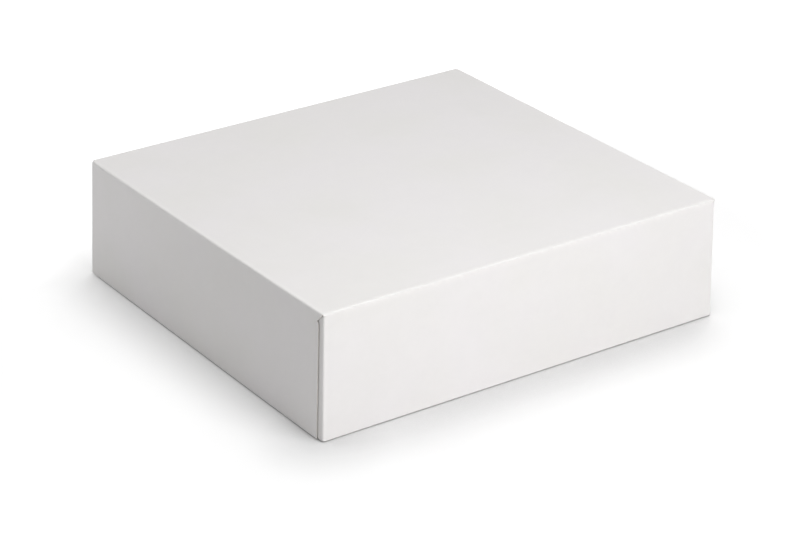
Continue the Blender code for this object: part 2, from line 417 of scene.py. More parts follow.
class Sheet:
    """One sheet of board, modelled flat in its panel's own frame.

    The fold's axis is the u axis. The outer face lies one axis depth above it.
    """

    def __init__(self, name: str, board: Board, place: Matrix) -> None:
        """Starts an empty sheet at its panel's place."""
        self.name = name
        self.board = board
        self.place = place
        self.creases = [(place, 1.0)]
        self.mesh = bmesh.new()

    def crease(self, *places: Matrix, strength: float = 1.0) -> None:
        """Lets the board wear along more folds, fully with a strength of 1."""
        self.creases += [(place, strength) for place in places]

    def panel(self, low_u: float, high_u: float, start_v: float, end_v: float) -> None:
        """Makes the flat panel, by extruding one edge.

        Args:
            low_u: where the panel starts along the fold.
            high_u: where it ends along the fold.
            start_v: how far from the fold's axis it starts.
            end_v: how far from the fold's axis it ends.
        """
        depth = self.board.axis_depth
        ends = [self.mesh.verts.new((u, start_v, depth)) for u in (low_u, high_u)]
        edge = self.mesh.edges.new(ends)
        grown = bmesh.ops.extrude_edge_only(self.mesh, edges=[edge])["geom"]
        moved = [item for item in grown if isinstance(item, bmesh.types.BMVert)]
        bmesh.ops.translate(self.mesh, verts=moved, vec=(0, end_v - start_v, 0))

    def folded_panel(self, low_u: float, high_u: float, end_v: float, angle: float) -> None:
        """Makes a panel with its fold and the apron beyond it.

        Args:
            low_u: where the panel starts along the fold.
            high_u: where it ends along the fold.
            end_v: how far it reaches from the fold's axis.
            angle: the fold's angle at rest.
        """
        board = self.board
        root = board.root(angle)
        self.panel(low_u, high_u, root, end_v)
        edge = next(edge for edge in self.mesh.edges
                    if all(abs(vert.co.y - root) < SAME_PLACE for vert in edge.verts))
        turned = bmesh.ops.spin(
            self.mesh, geom=[edge, *edge.verts], axis=(1, 0, 0), angle=angle,
            cent=(0, root, board.axis_depth - board.fold_radius),
            steps=board.fold_steps, space=Matrix.Identity(4), use_merge=False)["geom_last"]
        last = [item for item in turned if isinstance(item, bmesh.types.BMEdge)]
        grown = bmesh.ops.extrude_edge_only(self.mesh, edges=last)["geom"]
        moved = [item for item in grown if isinstance(item, bmesh.types.BMVert)]
        inwards = Vector((0, -cos(angle), -sin(angle)))
        bmesh.ops.translate(self.mesh, verts=moved, vec=inwards * board.apron)

    def slice(self, point: Vector, normal: Vector, clear: bool,
              where: Optional[Callable[[Vector], bool]] = None) -> None:
        """Cuts the sheet by a plane in the panel's own frame.

        Args:
            point: a point of the plane.
            normal: the plane's normal, towards the waste.
            clear: whether the waste goes.
            where: tells from a face's middle whether the cut reaches it.
        """
        def reached() -> list:
            """The faces that the cut reaches."""
            return [face for face in self.mesh.faces
                    if where is None or where(face.calc_center_median())]

        faces = reached()
        verts = {vert for face in faces for vert in face.verts}
        edges = {edge for face in faces for edge in face.edges}
        bmesh.ops.bisect_plane(self.mesh, geom=[*verts, *edges, *faces], dist=CUT_DISTANCE,
                               plane_co=point, plane_no=normal)
        if clear:
            waste = [face for face in reached()
                     if (face.calc_center_median() - point).dot(normal) > 0]
            bmesh.ops.delete(self.mesh, geom=waste, context="FACES")

    def cut(self, point: tuple, normal: tuple, clear: bool,
            where: Optional[Callable[[Vector], bool]] = None) -> None:
        """Cuts the sheet square to its panel.

        Args:
            point: a point (u, v) of the cut.
            normal: the way (u, v) to the waste.
            clear: whether the waste goes.
            where: tells from a face's middle whether the cut reaches it.
        """
        self.slice(Vector((*point, 0)), Vector((*normal, 0)), clear, where)

    def mitre(self, corner: Vector, waste: Vector,
              where: Optional[Callable[[Vector], bool]] = None) -> None:
        """Cuts the sheet by an upright plane through a corner of the lid.

        Args:
            corner: the corner, in the box's own axes.
            waste: the way to the waste, in the box's own axes.
            where: tells from a face's middle whether the cut reaches it.
        """
        inverse = self.place.inverted()
        self.slice(inverse @ corner, inverse.to_3x3() @ waste.normalized(), True, where)

    def trim(self, start: tuple, end: tuple,
             where: Optional[Callable[[Vector], bool]] = None) -> None:
        """Trims the sheet along a line and keeps what lies to its left.

        Args:
            start: first point (u, v) of the line.
            end: last point (u, v) of the line.
            where: tells from a face's middle whether the cut reaches it.
        """
        way = Vector(end) - Vector(start)
        self.cut(start, (way.y, -way.x), True, where)

    def trim_along(self, points: list, backwards: bool,
                   where: Optional[Callable[[Vector], bool]] = None) -> None:
        """Trims the sheet along the lines between points.

        Args:
            points: the points, as (u, v).
            backwards: whether the kept side lies to the right, as on a mirrored panel.
            where: tells from a face's middle whether the cuts reach it.
        """
        for first, last in zip(points, points[1:]):
            ends = (last, first) if backwards else (first, last)
            self.trim(*ends, where=where)

    def round_off(self, before: tuple, corner: tuple, after: tuple, radius: float,
                  steps: int = 6, where: Optional[Callable[[Vector], bool]] = None) -> None:
        """Rounds an outward corner with cuts that touch an arc.

        Args:
            before: the outline's point before the corner, as (u, v).
            corner: the corner.
            after: the outline's point after it, anticlockwise.
            radius: the arc's radius.
            steps: how many cuts make the arc.
            where: tells from a face's middle whether the cuts reach it.
        """
        here = Vector(corner)
        first = (here - Vector(before)).normalized()
        last = (Vector(after) - here).normalized()
        out_first, out_last = Vector((first.y, -first.x)), Vector((last.y, -last.x))
        sweep = out_first.angle(out_last)
        centre = here - (out_first + out_last) * (radius / (1 + cos(sweep)))
        for step in range(1, steps + 1):
            share = step / (steps + 1)
            normal = out_first * sin((1 - share) * sweep) + out_last * sin(share * sweep)
            normal.normalize()
            self.cut(tuple(centre + normal * radius), tuple(normal), True, where)

    def settle(self, axes: str, form: HandFolding) -> None:
        """Moves the sheet to its place and lets it take the box's real form.

        Args:
            axes: the two axes of the box along which the sheet is subdivided.
            form: the form that the folded box takes.
        """
        mesh, grid = self.mesh, self.board.grid
        bmesh.ops.transform(mesh, matrix=self.place, space=Matrix.Identity(4), verts=mesh.verts)
        cuts = [cut for cut in form.crease_rows() if cut[0] in axes]
        for axis in axes:
            index = "xyz".index(axis)
            low = min(vert.co[index] for vert in mesh.verts)
            high = max(vert.co[index] for vert in mesh.verts)
            first = int(low // grid) + 1
            cuts += [(axis, step * grid) for step in range(first, int(high // grid) + 1)]
        for axis, position in cuts:
            bmesh.ops.bisect_plane(
                mesh, geom=[*mesh.verts, *mesh.edges, *mesh.faces], dist=WELD_DISTANCE,
                plane_co=AXES[axis] * position, plane_no=AXES[axis])
        bmesh.ops.remove_doubles(mesh, verts=mesh.verts, dist=WELD_DISTANCE)
        wear = mesh.verts.layers.float.new(FOLD_WEAR)
        folds = [(place.inverted(), strength) for place, strength in self.creases]
        for vert in mesh.verts:
            vert[wear] = max(strength * self.board.worn((fold @ vert.co).yz.length)
                             for fold, strength in folds)
            vert.co += form.offset(vert.co)

    def face_outwards(self) -> None:
        """Turns all faces to look out of the box."""
        bmesh.ops.recalc_face_normals(self.mesh, faces=self.mesh.faces)
        out = self.place.to_3x3() @ AXES["z"]
        if sum(face.normal.dot(out) * face.calc_area() for face in self.mesh.faces) < 0:
            bmesh.ops.reverse_faces(self.mesh, faces=self.mesh.faces)

    @staticmethod
    def mark_plies(solid: bpy.types.Mesh) -> None:
        """Marks each point with its depth in the board, 0 outside and 1 inside."""
        depth = solid.attributes.new(PLY_DEPTH, "FLOAT", "POINT")
        for face in solid.polygons:
            if face.material_index == Face.INSIDE:
                for index in face.vertices:
                    depth.data[index].value = 1.0

    def finish(self, finishes: list, slot: Slot, nodes: tuple) -> bpy.types.Object:
        """Gives the sheet its thickness and turns it into a piece.

        Args:
            finishes: the materials of the outside, the inside and the cut edges.
            slot: the record's material slot, not used.
            nodes: the CAD nodes that the piece stands for.

        Returns:
            The finished piece.
        """
        self.face_outwards()
        data = bpy.data.meshes.new(self.name)
        self.mesh.to_mesh(data)
        self.mesh.free()
        piece = bpy.data.objects.new(self.name, data)
        bpy.context.scene.collection.objects.link(piece)
        for finish in finishes:
            data.materials.append(finish)
        wall = piece.modifiers.new("board", "SOLIDIFY")
        wall.thickness = self.board.thickness
        wall.offset = -1
        wall.use_even_offset = True
        wall.material_offset = Face.INSIDE
        wall.material_offset_rim = Face.CUT_EDGE
        shape = piece.evaluated_get(bpy.context.evaluated_depsgraph_get())
        solid = bpy.data.meshes.new_from_object(shape)
        solid.name = self.name
        piece.modifiers.clear()
        self.mark_plies(solid)
        piece.data = solid
        bpy.data.meshes.remove(data)
        solid.shade_smooth()
        solid.set_sharp_from_angle(angle=SMOOTH_ANGLE)
        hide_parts(*nodes)
        log.info("%s: %d faces", piece.name, len(solid.polygons))
        return piece


class Nodes:
    """A node tree with short ways to add and join its nodes."""

    def __init__(self, tree: bpy.types.NodeTree) -> None:
        """Takes over a tree and empties it."""
        self.tree = tree
        tree.nodes.clear()

    def add(self, kind: str, settings: Optional[dict] = None, **values: object) -> bpy.types.Node:
        """Adds a node.

        Args:
            kind: the node's type, without its ShaderNode prefix.
            settings: the node's own settings.
            **values: numbers, colours or sockets for its inputs. An input's
                name has underscores for spaces, or is i and the input's place.

        Returns:
            The new node.
        """
        node = self.tree.nodes.new(kind if kind.startswith("Node") else f"ShaderNode{kind}")
        for name, value in (settings or {}).items():
            setattr(node, name, value)
        for name, value in values.items():
            key = int(name[1:]) if name[0] == "i" and name[1:].isdigit() else name.replace("_", " ")
            self.feed(node.inputs[key], value)
        return node

    def feed(self, socket: bpy.types.NodeSocket, value: object) -> None:
        """Sets a socket, or links it if the value is another socket."""
        if isinstance(value, bpy.types.NodeSocket):
            self.tree.links.new(value, socket)
        else:
            socket.default_value = value

    def math(self, operation: str, first: object, second: object = 0.0,
             third: object = 0.0, clamp: bool = False) -> bpy.types.NodeSocket:
        """Adds a Math node and gives its result."""
        node = self.add("Math", {"operation": operation, "use_clamp": clamp},
                        i0=first, i1=second, i2=third)
        return node.outputs[0]

    def noise(self, place: object, scale: float, detail: float = 2.0,
              roughness: float = 0.5) -> bpy.types.NodeSocket:
        """Adds a Noise Texture and gives its value."""
        return self.add("TexNoise", Vector=place, Scale=scale, Detail=detail,
                        Roughness=roughness).outputs["Fac"]

    def remap(self, value: object, source: tuple,
              target: tuple = (0.0, 1.0)) -> bpy.types.NodeSocket:
        """Maps a value from one (low, high) range to another."""
        return self.add("MapRange", Value=value, From_Min=source[0], From_Max=source[1],
                        To_Min=target[0], To_Max=target[1]).outputs["Result"]

    def group(self, tree: bpy.types.NodeTree, **values: object) -> bpy.types.bpy_prop_collection:
        """Adds a node group and gives its outputs."""
        return self.add("Group", {"node_tree": tree}, **values).outputs

    def scale(self, colour: object, factor: object) -> bpy.types.NodeSocket:
        """Scales a colour by a factor."""
        return self.add("VectorMath", {"operation": "SCALE"}, i0=colour, Scale=factor).outputs[0]

    def mix(self, share: object, first: object, second: object) -> bpy.types.NodeSocket:
        """Adds a colour Mix node and gives its result."""
        node = self.add("Mix", {"data_type": "RGBA"}, i0=share, i6=first, i7=second)
        return node.outputs[2]


def new_group(name: str, inputs: tuple, outputs: tuple) -> tuple:
    """Makes an empty shader node group.

    Args:
        name: the group's name.
        inputs: (name, socket type, value) of each input.
        outputs: (name, socket type) of each output.

    Returns:
        The nodes, the group's input node and its output node.
    """
    tree = bpy.data.node_groups.new(name, "ShaderNodeTree")
    for title, kind, value in inputs:
        socket = tree.interface.new_socket(title, in_out="INPUT", socket_type=kind)
        if value is not None:
            socket.default_value = value
    for title, kind in outputs:
        tree.interface.new_socket(title, in_out="OUTPUT", socket_type=kind)
    nodes = Nodes(tree)
    return nodes, nodes.add("NodeGroupInput"), nodes.add("NodeGroupOutput")


FLOAT, VECTOR = "NodeSocketFloat", "NodeSocketVector"
NOISE_MIDDLE = 0.5
FIBRE_STRETCH = (900.0, 5200.0, 2600.0)
SCUFF_STRETCH = (40.0, 1500.0, 900.0)
SCUFF_TURN = (0.3, 0.2, 0.7)


def pulp_mottle() -> bpy.types.NodeTree:
    """Makes the cloudy look of pressed pulp, which all faces of the board share.

    Returns:
        A group that puts out a tone for the colour, a height for the bump and
        a value that varies the roughness.
    """
    nodes, given, result = new_group(
        "pulp_mottle",
        (("Place", VECTOR, None), ("Cloud Contrast", FLOAT, 0.02),
         ("Fibre Contrast", FLOAT, 0.02), ("Mottle Contrast", FLOAT, 0.02),
         ("Mottle Relief", FLOAT, 0.8), ("Grain", FLOAT, 1.0),
         ("Cloud Gloss", FLOAT, 0.6), ("Mottle Gloss", FLOAT, 0.4)),
        (("Tone", FLOAT), ("Height", FLOAT), ("Gloss", FLOAT)))
    place = given.outputs["Place"]
    cloud = nodes.noise(place, scale=70.0, detail=3.0, roughness=0.6)
    mottle = nodes.noise(place, scale=420.0, roughness=0.55)
    stretched = nodes.add("Mapping", Vector=place, Scale=FIBRE_STRETCH).outputs[0]
    fibres = nodes.noise(stretched, scale=1.0, roughness=0.6)
    # every pattern swings evenly about a tone of 1
    tone = 1.0
    for pattern, contrast in ((cloud, "Cloud"), (fibres, "Fibre"), (mottle, "Mottle")):
        swing = nodes.math("SUBTRACT", pattern, NOISE_MIDDLE)
        tone = nodes.math("MULTIPLY_ADD", swing, given.outputs[f"{contrast} Contrast"], tone)
    nodes.feed(result.inputs["Tone"], tone)
    grain = nodes.math("MULTIPLY", fibres, given.outputs["Grain"])
    height = nodes.math("MULTIPLY_ADD", mottle, given.outputs["Mottle Relief"], grain)
    nodes.feed(result.inputs["Height"], height)
    clouded = nodes.math("MULTIPLY", cloud, given.outputs["Cloud Gloss"])
    gloss = nodes.math("MULTIPLY_ADD", mottle, given.outputs["Mottle Gloss"], clouded)
    nodes.feed(result.inputs["Gloss"], gloss)
    return nodes.tree


def stray_specks() -> bpy.types.NodeTree:
    """Makes the few dark specks that recycled pulp and dust leave on white board.

    Returns:
        A group that puts out a mask, 1 on a speck.
    """
    nodes, given, result = new_group(
        "stray_specks",
        (("Place", VECTOR, None), ("Spacing Scale", FLOAT, 70.0), ("Size", FLOAT, 0.035),
         ("Missing Share", FLOAT, 0.55)),
        (("Mask", FLOAT),))
    cells = nodes.add("TexVoronoi", {"feature": "F1"}, Vector=given.outputs["Place"],
                      Scale=given.outputs["Spacing Scale"])
    chance = nodes.add("SeparateColor", Color=cells.outputs["Color"])
    reach = nodes.math("MULTIPLY", given.outputs["Size"], chance.outputs[0])
    away = nodes.math("DIVIDE", cells.outputs["Distance"], reach)
    inside = nodes.math("SUBTRACT", 1.0, away, clamp=True)
    chosen = nodes.math("GREATER_THAN", chance.outputs[1], given.outputs["Missing Share"])
    nodes.feed(result.inputs["Mask"], nodes.math("MULTIPLY", inside, chosen))
    return nodes.tree


def crease_wear() -> bpy.types.NodeTree:
    """Makes the wear that folding leaves along a crease, and the mask of the painted highlight
    along it.

    Returns:
        A group that puts out a mask of rubbing on the coating, which on the coated
        outside also lays a painted highlight along the fold, a mask of fine cracks
        and a height for the bump.
    """
    nodes, given, result = new_group(
        "crease_wear",
        (("Place", VECTOR, None), ("Nearness", FLOAT, 0.0), ("Patchiness", FLOAT, 0.6),
         ("Rub Falloff", FLOAT, 2.0), ("Rub Relief", FLOAT, 0.5), ("Crack Falloff", FLOAT, 6.0)),
        (("Rub", FLOAT), ("Crack", FLOAT), ("Height", FLOAT)))
    place, near = given.outputs["Place"], given.outputs["Nearness"]
    least = nodes.math("SUBTRACT", 1.0, given.outputs["Patchiness"])
    patchy = nodes.noise(place, scale=170.0, detail=3.0, roughness=0.6)
    patches = nodes.remap(patchy, source=(0.38, 0.62), target=(least, 1.0))
    close = nodes.math("POWER", near, given.outputs["Rub Falloff"])
    # mask of rubbing along the fold; on the coated outside it also paints a highlight
    rub = nodes.math("MULTIPLY", close, patches)
    fine = nodes.noise(place, scale=2300.0, roughness=0.6)
    veins = nodes.remap(fine, source=(0.52, 0.66))
    closest = nodes.math("POWER", near, given.outputs["Crack Falloff"])
    crack = nodes.math("MULTIPLY", nodes.math("MULTIPLY", closest, veins), patches)
    raised = nodes.math("MULTIPLY", rub, given.outputs["Rub Relief"])
    nodes.feed(result.inputs["Rub"], rub)
    nodes.feed(result.inputs["Crack"], crack)
    nodes.feed(result.inputs["Height"], nodes.math("SUBTRACT", raised, crack))
    return nodes.tree


def handling_marks() -> bpy.types.NodeTree:
    """Makes the faint smudges and scuffs of a box that hands have folded up.

    Returns:
        A group that puts out a mask of smudges and a mask of fine scuffs.
    """
    nodes, given, result = new_group(
        "handling_marks",
        (("Place", VECTOR, None), ("Smudge Scale", FLOAT, 34.0)),
        (("Smudge", FLOAT), ("Scuff", FLOAT)))
    place = given.outputs["Place"]
    cloudy = nodes.noise(place, scale=given.outputs["Smudge Scale"], detail=3.0, roughness=0.55)
    nodes.feed(result.inputs["Smudge"], nodes.remap(cloudy, source=(0.56, 0.72)))
    slanted = nodes.add("Mapping", Vector=place, Rotation=SCUFF_TURN, Scale=SCUFF_STRETCH)
    streaks = nodes.noise(slanted.outputs[0], scale=1.0)
    lines = nodes.remap(streaks, source=(0.66, 0.74))
    where = nodes.remap(nodes.noise(place, scale=22.0), source=(0.52, 0.66))
    nodes.feed(result.inputs["Scuff"], nodes.math("MULTIPLY", lines, where))
    return nodes.tree


def board_plies() -> bpy.types.NodeTree:
    """Makes the layers of pulp that show on a cut edge, under a thin white coat.

    Returns:
        A group that puts out a tone for the colour and a height for the bump.
    """
    nodes, given, result = new_group(
        "board_plies",
        (("Place", VECTOR, None), ("Depth", FLOAT, 0.0), ("Layers", FLOAT, 3.0),
         ("Sway", FLOAT, 0.35), ("Contrast", FLOAT, 0.035), ("Coat Tone", FLOAT, 0.07)),
        (("Tone", FLOAT), ("Height", FLOAT)))
    place, depth = given.outputs["Place"], given.outputs["Depth"]
    wave = nodes.noise(place, scale=380.0, detail=3.0)
    swing = nodes.math("SUBTRACT", wave, NOISE_MIDDLE)
    sway = nodes.math("MULTIPLY", swing, given.outputs["Sway"])
    turns = nodes.math("MULTIPLY", given.outputs["Layers"], 2 * pi)
    band = nodes.math("SINE", nodes.math("MULTIPLY", nodes.math("ADD", depth, sway), turns))
    coat = nodes.remap(depth, source=(0.03, 0.16), target=(given.outputs["Coat Tone"], 0.0))
    plies = nodes.math("MULTIPLY_ADD", band, given.outputs["Contrast"], 1.0)
    nodes.feed(result.inputs["Tone"], nodes.math("ADD", plies, coat))
    nodes.feed(result.inputs["Height"], nodes.math("MULTIPLY_ADD", band, 0.5, 0.5))
    return nodes.tree


@dataclass(frozen=True)
class Effects:
    """The shared effects that the finishes are made of."""

    mottle: bpy.types.NodeTree
    specks: bpy.types.NodeTree
    wear: bpy.types.NodeTree
    marks: bpy.types.NodeTree
    plies: bpy.types.NodeTree

    @classmethod
    def made(cls) -> "Effects":
        """Makes each effect once."""
        return cls(pulp_mottle(), stray_specks(), crease_wear(), handling_marks(), board_plies())


@dataclass(frozen=True)
class BoardFinish:
    """One surface of the board: the coated outside, the inside or a cut edge.

    shade is a second tone, which takes turns with colour in patches as large as
    tint_scale says. cloud and fibre are contrasts of the pulp, relief is the
    bump's depth, and rub, crack, smudge, scuff and speck say how strongly each
    kind of wear shows. The colour of rubbing along the folds is lighter than the
    board on the coated outside, where it is partly a painted highlight. Rubbed
    and scuffed places are rougher, by rub_roughening and scuff_roughening. layers
    is how many plies show, and 0 leaves them out.
    """

    name: str
    colour: tuple
    shade: tuple
    rubbed: tuple
    roughness: float
    roughness_spread: float
    cloud: float
    fibre: float
    grain: float
    relief: float
    specular: float
    rub: float = 0.0
    crack: float = 0.0
    smudge: float = 0.0
    scuff: float = 0.0
    speck: float = 0.0
    layers: float = 0.0
    tint_scale: float = 17.0
    rub_roughening: float = 0.12
    scuff_roughening: float = 0.06
    bump_strength: float = 0.6

    def build(self, effects: Effects) -> bpy.types.Material:
        """Builds the finish.

        Args:
            effects: the shared effects.

        Returns:
            The material.
        """
        material = bpy.data.materials.new(self.name)
        material.use_nodes = True
        nodes = Nodes(material.node_tree)
        place = nodes.add("TexCoord").outputs["Object"]
        near = nodes.add("Attribute", {"attribute_name": FOLD_WEAR}).outputs["Fac"]
        pulp = nodes.group(effects.mottle, Place=place, Cloud_Contrast=self.cloud,
                           Fibre_Contrast=self.fibre, Grain=self.grain)
        specks = nodes.group(effects.specks, Place=place)
        crease = nodes.group(effects.wear, Place=place, Nearness=near)
        marks = nodes.group(effects.marks, Place=place)
        tint = nodes.remap(nodes.noise(place, scale=self.tint_scale), source=(0.35, 0.65))
        colour = nodes.mix(tint, self.colour, self.shade)
        colour = nodes.scale(colour, pulp["Tone"])
        height = nodes.math("ADD", pulp["Height"], crease["Height"])
        if self.layers:
            depth = nodes.add("Attribute", {"attribute_name": PLY_DEPTH}).outputs["Fac"]
            plies = nodes.group(effects.plies, Place=place, Depth=depth, Layers=self.layers)
            colour = nodes.scale(colour, plies["Tone"])
            height = nodes.math("ADD", height, plies["Height"])
        # rubbing lightens the folds of the coated outside, partly as a painted highlight; cracks,
        # smudges, scuffs and specks follow
        stains_and_highlight = (
            (crease["Rub"], self.rub, self.rubbed),
            (crease["Crack"], self.crack, CRACK_COLOUR),
            (marks["Smudge"], self.smudge, SMUDGE_COLOUR),
            (marks["Scuff"], self.scuff, SMUDGE_COLOUR),
            (specks["Mask"], self.speck, SPECK_COLOUR),
        )
        for mask, amount, stain_and_highlight in stains_and_highlight:
            if amount:
                colour = nodes.mix(nodes.math("MULTIPLY", mask, amount), colour, stain_and_highlight)
        spread = self.roughness_spread
        limits = (self.roughness - spread, self.roughness + spread)
        rough = nodes.remap(pulp["Gloss"], source=(0.3, 0.7), target=limits)
        rough = nodes.math("MULTIPLY_ADD", crease["Rub"], self.rub_roughening, rough)
        rough = nodes.math("MULTIPLY_ADD", marks["Scuff"], self.scuff_roughening, rough)
        bump = nodes.add("Bump", Height=height, Strength=self.bump_strength, Distance=self.relief)
        shader = nodes.add("BsdfPrincipled", Base_Color=colour, Roughness=rough,
                           Specular_IOR_Level=self.specular, Normal=bump.outputs[0])
        output = nodes.add("OutputMaterial")
        nodes.feed(output.inputs["Surface"], shader.outputs[0])
        return material


CRACK_COLOUR = (0.60, 0.57, 0.52, 1)
SMUDGE_COLOUR = (0.66, 0.65, 0.63, 1)
SPECK_COLOUR = (0.32, 0.29, 0.25, 1)
COATED = BoardFinish(
    "coated_board", colour=(0.875, 0.853, 0.853, 1), shade=(0.863, 0.846, 0.831, 1),
    # the colour of rubbing, lighter than the board, is crease wear and partly a painted highlight
    # along the folds
    rubbed=(0.935, 0.922, 0.908, 1),
    roughness=0.46, roughness_spread=0.05, cloud=0.04, fibre=0.012, grain=0.5,
    relief=0.012 * MM, specular=0.5, rub=0.85, crack=0.22, smudge=0.035, scuff=0.05,
    speck=0.25)
UNCOATED = BoardFinish(
    "uncoated_board", colour=(0.80, 0.775, 0.735, 1), shade=(0.785, 0.765, 0.73, 1),
    rubbed=(0.74, 0.71, 0.66, 1),
    roughness=0.85, roughness_spread=0.05, cloud=0.05, fibre=0.09, grain=1.6,
    relief=0.03 * MM, specular=0.25, rub=0.5, crack=0.3, smudge=0.05, scuff=0.08,
    speck=0.6)
CUT = BoardFinish(
    "cut_edge", colour=(0.79, 0.765, 0.72, 1), shade=(0.74, 0.715, 0.675, 1),
    rubbed=(0.70, 0.67, 0.62, 1),
    roughness=0.85, roughness_spread=0.05, cloud=0.05, fibre=0.16, grain=2.0,
    relief=0.03 * MM, specular=0.2, rub=0.3, speck=0.4, layers=3.0)


@dataclass
class Workshop:
    """What every sub-assembly is made with, and ways that they share."""

    board: Board
    sizes: BoxSizes
    form: HandFolding
    coated: bpy.types.Material
    uncoated: bpy.types.Material
    cut: bpy.types.Material

    @property
    def finishes(self) -> list:
        """Finishes of a sheet, in the order of Face."""
        return [self.coated, self.uncoated, self.cut]

    def skirt_length(self, fold: float) -> float:
        """Tells how far a skirt reaches from its fold's axis.

        Args:
            fold: the fold's angle at rest.

        Returns:
            The length that brings the skirt's foot down to its place.
        """
        lean = pi / 2 - fold
        inner = self.board.axis_depth - self.board.thickness
        drop = self.sizes.fold_height - self.sizes.skirt_foot + self.form.skirt_drop
        return (drop + inner * sin(lean)) / cos(lean)

    def bend(self, piece: bpy.types.Object, joint: FoldJoint, child: Matrix,
             angle: float) -> None:
        """Bakes a piece's place into its mesh, without blending it over the fold.

        Args:
            piece: the finished piece.
            joint: the joint at the fold, not used.
            child: the place of the panel beyond the fold, not used.
            angle: the fold's angle at rest, not used.
        """
        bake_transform(piece)


@dataclass
class Tray:
    """The shallow tray: a bottom, four walls and four glued corner tabs.

    The lower corners of the front and back walls are cut, inset and rise being
    multiples of how far their fold's bend reaches from its axis.
    """

    shop: Workshop
    tab_length: float = 22 * MM
    tab_taper: float = radians(12)
    tab_relief: float = 2 * MM
    tab_corner: float = 3 * MM
    corner_cut: float = 1 * MM
    wall_corner: float = 2 * MM
    corner_inset: float = 3.2
    corner_rise: float = 3.4
    side_axis: float = field(init=False)
    half_length: float = field(init=False)

    def __post_init__(self) -> None:
        """Works out where the folds' axes lie."""
        board, sizes = self.shop.board, self.shop.sizes
        self.side_axis = sizes.tray_half_width - board.axis_depth
        set_back = board.thickness + board.gap + board.axis_depth
        self.half_length = (sizes.tray_back - sizes.tray_front) / 2 - set_back

    def bottom_place(self) -> Matrix:
        """The bottom's place: its outer face looks down."""
        raised = Matrix.Translation((0, 0, self.shop.board.axis_depth))
        return raised @ Matrix.Rotation(pi, 4, "X")

    def wall_place(self, edge: str) -> Matrix:
        """Places a wall on its fold.

        Args:
            edge: left, right, front or back.

        Returns:
            The wall's place.
        """
        depth, sizes = self.shop.board.axis_depth, self.shop.sizes
        side = self.side_axis
        front, back = -sizes.tray_front - depth, sizes.tray_back - depth
        ends = {"back": ((-side, -back), (side, -back)), "right": ((side, -back), (side, front)),
                "front": ((side, front), (-side, front)), "left": ((-side, front), (-side, -back))}
        return fold_place(self.bottom_place(), *ends[edge], pi / 2)

    def build(self) -> list:
        """Builds the whole tray.

        Returns:
            Its pieces.
        """
        pieces = [self.bottom(), self.back_wall(), self.front_wall()]
        for side in Side:
            pieces.append(self.side_wall(side))
            pieces += [self.glue_tab(side, end) for end in ("front", "back")]
        for piece in pieces:
            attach(piece, "tray")
        return pieces

    def bottom(self) -> bpy.types.Object:
        """Builds the bottom, which ends in a seam before each fold.

        Returns:
            The piece.
        """
        shop, depth = self.shop, self.shop.board.axis_depth
        reach = shop.board.reach(pi / 2)
        side = self.side_axis - reach
        sheet = Sheet("tray_bottom_sheet", shop.board, self.bottom_place())
        sheet.panel(-side, side, -(shop.sizes.tray_back - depth - reach),
                    -shop.sizes.tray_front - depth - reach)
        sheet.creases.clear()
        sheet.crease(*(self.wall_place(edge) for edge in ("left", "right", "front", "back")))
        sheet.settle("xy", shop.form)
        return sheet.finish(shop.finishes, Slot.UNCOATED, ("tray_bottom",))

    def end_wall(self, name: str, edge: str, height: float) -> Sheet:
        """Starts the front or back wall with its lower corners cut.

        Args:
            name: the piece's name.
            edge: front or back.
            height: how far it reaches above the fold's axis.

        Returns:
            The sheet, not yet settled.
        """
        board = self.shop.board
        half = self.shop.sizes.tray_half_width
        root = board.root(pi / 2)
        sheet = Sheet(name, board, self.wall_place(edge))
        sheet.folded_panel(-half, half, height, pi / 2)
        inner, rise = half - self.corner_inset * root, self.corner_rise * root
        sheet.trim((-half, rise), (-inner, -board.fold_radius))
        sheet.trim((inner, -board.fold_radius), (half, rise))
        return sheet

    def back_wall(self) -> bpy.types.Object:
        """Builds the back wall, up to the seam under the lid's hinge.

        Returns:
            The piece.
        """
        shop = self.shop
        rise = shop.sizes.fold_height - shop.board.axis_depth - shop.board.reach(pi / 2)
        sheet = self.end_wall("back_wall_sheet", "back", rise)
        sheet.crease(Matrix.Translation(FoldJoint.named("lid_hinge").at))
        sheet.settle("xz", shop.form)
        return sheet.finish(shop.finishes, Slot.COATED, ("tray_back_wall",))

    def front_wall(self) -> bpy.types.Object:
        """Builds the front wall, with its free top corners rounded.

        Returns:
            The piece.
        """
        shop = self.shop
        rise = shop.sizes.wall_top - shop.board.axis_depth
        half = shop.sizes.tray_half_width
        sheet = self.end_wall("front_wall_sheet", "front", rise)
        sheet.round_off((half, 0), (half, rise), (-half, rise), self.wall_corner)
        sheet.round_off((half, rise), (-half, rise), (-half, 0), self.wall_corner)
        sheet.settle("xz", shop.form)
        return sheet.finish(shop.finishes, Slot.UNCOATED, ("tray_front_wall",))

    def side_wall(self, side: Side) -> bpy.types.Object:
        """Builds a side wall, up to the seams before its corner tabs.

        Args:
            side: the side that the wall stands on.

        Returns:
            The piece.
        """
        shop, board = self.shop, self.shop.board
        half = self.half_length - board.reach(pi / 2)
        rise = shop.sizes.wall_top - board.axis_depth
        sheet = Sheet(f"{side.word}_wall_sheet", board, self.wall_place(side.word))
        sheet.folded_panel(-half, half, rise, pi / 2)
        sheet.crease(*(self.tab_fold(side, end)[0] for end in ("front", "back")))
        sheet.settle("yz", shop.form)
        return sheet.finish(shop.finishes, Slot.UNCOATED, (f"tray_{side.word}_wall",))

    def tab_fold(self, side: Side, end: str) -> tuple:
        """Places a corner tab on its side wall.

        Args:
            side: the side wall.
            end: front or back.

        Returns:
            The tab's place and half its height at the fold.
        """
        low = self.shop.board.axis_depth + self.corner_cut
        high = self.shop.sizes.wall_top - self.shop.board.axis_depth - self.corner_cut
        # a side wall's u runs forwards on the left and backwards on the right
        forwards = (end == "front") == (side is Side.LEFT)
        ends = ((self.half_length, low), (self.half_length, high))
        if not forwards:
            ends = ((-self.half_length, high), (-self.half_length, low))
        return fold_place(self.wall_place(side.word), *ends, pi / 2), (high - low) / 2

